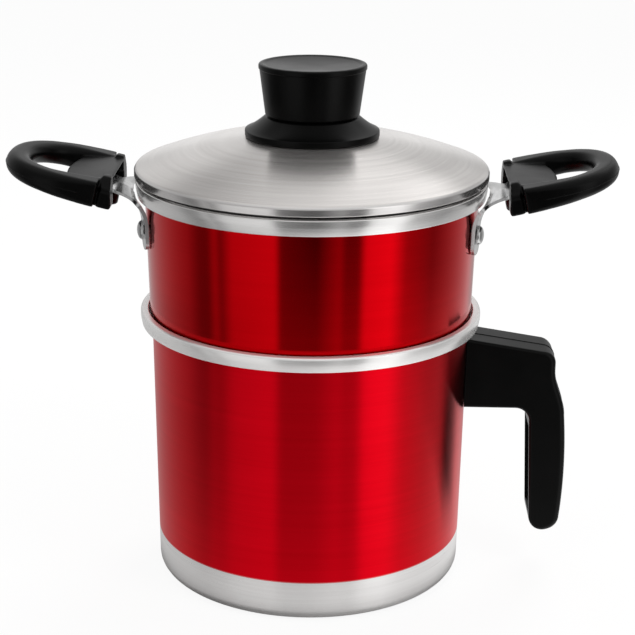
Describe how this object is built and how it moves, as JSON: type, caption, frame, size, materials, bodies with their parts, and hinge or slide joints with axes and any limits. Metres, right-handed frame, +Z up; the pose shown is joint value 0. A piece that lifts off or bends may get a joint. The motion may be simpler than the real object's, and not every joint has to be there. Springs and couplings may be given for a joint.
{
  "type": "couscous steamer",
  "caption": "Stacked steamer: a round pot with a side handle, a steamer basket with loop handles seated in its rim, a loose perforated plate, and a domed lid with a large knob.",
  "frame": {"origin": "centre of the pot's base, on the surface it stands on", "axes": "+X towards the pot's side handle and the right loop handle, +Z up along the pot's axis"},
  "size_m": [0.273, 0.1586, 0.2361],
  "materials": {
    "red_aluminium": "glossy transparent red lacquer over aluminium, bare towards the foot and on the rims",
    "bare_aluminium": "satin, brushed round the turned pieces",
    "black_bakelite": "satin black moulded bakelite",
    "bright_steel": "bright plated steel",
    "brass": "turned brass"
  },
  "bodies": {
    "pot": {"pot_shell": "red_aluminium", "pot_handle_bracket": "bare_aluminium", "pot_handle": "black_bakelite", "pot_handle_screw": "bright_steel", "pot_bracket_rivet_lower": "bright_steel", "pot_bracket_rivet_upper": "bright_steel"},
    "basket": {"basket_shell": "red_aluminium", "right_bracket": "bare_aluminium", "right_loop_handle": "black_bakelite", "right_handle_screw": "bright_steel", "right_rivet_front": "bright_steel", "right_rivet_rear": "bright_steel", "left_bracket": "bare_aluminium", "left_loop_handle": "black_bakelite", "left_handle_screw": "bright_steel", "left_rivet_front": "bright_steel", "left_rivet_rear": "bright_steel"},
    "steam_plate": {"steam_plate": "bare_aluminium", "plate_knob": "bare_aluminium"},
    "lid": {"lid_shell": "bare_aluminium", "knob_base": "black_bakelite", "knob_grip": "black_bakelite", "knob_insert": "brass", "knob_washer": "bright_steel", "knob_screw": "bright_steel"}
  },
  "joints": [
    {"name": "basket_lift", "type": "slide", "parent": "pot", "child": "basket", "axis": [0, 0, 1], "range_m": [0, 0.12]},
    {"name": "plate_lift", "type": "slide", "parent": "basket", "child": "steam_plate", "axis": [0, 0, 1], "range_m": [0, 0.045]},
    {"name": "lid_lift", "type": "slide", "parent": "basket", "child": "lid", "axis": [0, 0, 1], "range_m": [0, 0.08]}
  ]
}
